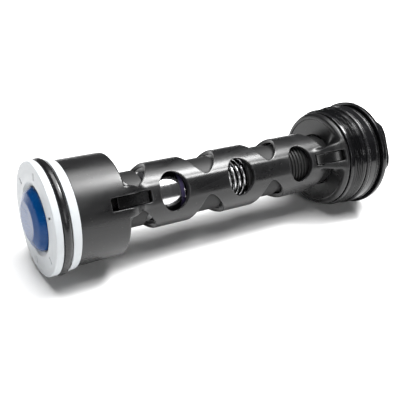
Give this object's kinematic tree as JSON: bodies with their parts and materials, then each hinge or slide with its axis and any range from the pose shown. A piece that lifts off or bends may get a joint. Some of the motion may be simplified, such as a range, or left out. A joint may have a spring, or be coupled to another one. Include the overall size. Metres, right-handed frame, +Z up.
{
  "type": "cartridge valve",
  "caption": "Screw-in cartridge valve with a slotted tubular cage, a sprung poppet in a plastic seat ring and a hex-headed threaded cap.",
  "frame": {"origin": "on the valve's axis, at the underside of the cap's flange, where the thread seats it in a manifold", "axes": "+X along the axis from the poppet to the hex cap, +Z up as the valve lies, the arms at 150 and 330 degrees from +Y towards +Z"},
  "size_m": [0.2374, 0.0678, 0.0678],
  "materials": {
    "black_nylon": "satin, glass-filled",
    "cap_black": "semi-gloss moulded",
    "seat_white": "smooth",
    "poppet_blue": "gloss",
    "black_rubber": "satin",
    "polished_steel": "polished",
    "spring_steel": "bright drawn wire",
    "plated_steel": "zinc plated",
    "bearing_bronze": "sintered",
    "ptfe": "filled, smooth"
  },
  "bodies": {
    "valve_body": {"cage": "black_nylon", "seat_ring": "seat_white", "seat_o_ring": "black_rubber", "main_spring": "spring_steel", "poppet_guide": "black_nylon", "guide_bush": "bearing_bronze", "spring_guide": "black_nylon", "spring_shims": "plated_steel", "retaining_ring": "spring_steel", "end_cap": "cap_black", "cap_o_ring": "black_rubber", "flange_o_ring": "black_rubber", "backup_ring": "black_nylon"},
    "poppet_group": {"poppet": "poppet_blue", "poppet_seal": "black_rubber", "poppet_washer": "plated_steel", "stem_nut": "plated_steel", "stem": "polished_steel", "spool": "polished_steel", "piston_ring": "ptfe", "stem_clip": "plated_steel", "spring_seat": "black_nylon"}
  },
  "joints": [
    {"name": "poppet_slide", "type": "slide", "parent": "valve_body", "child": "poppet_group", "axis": [1, 0, 0], "range_m": [0, 0.012], "stiffness_N_per_m": 500, "springref_m": -0.02, "deforming": ["main_spring"]}
  ]
}
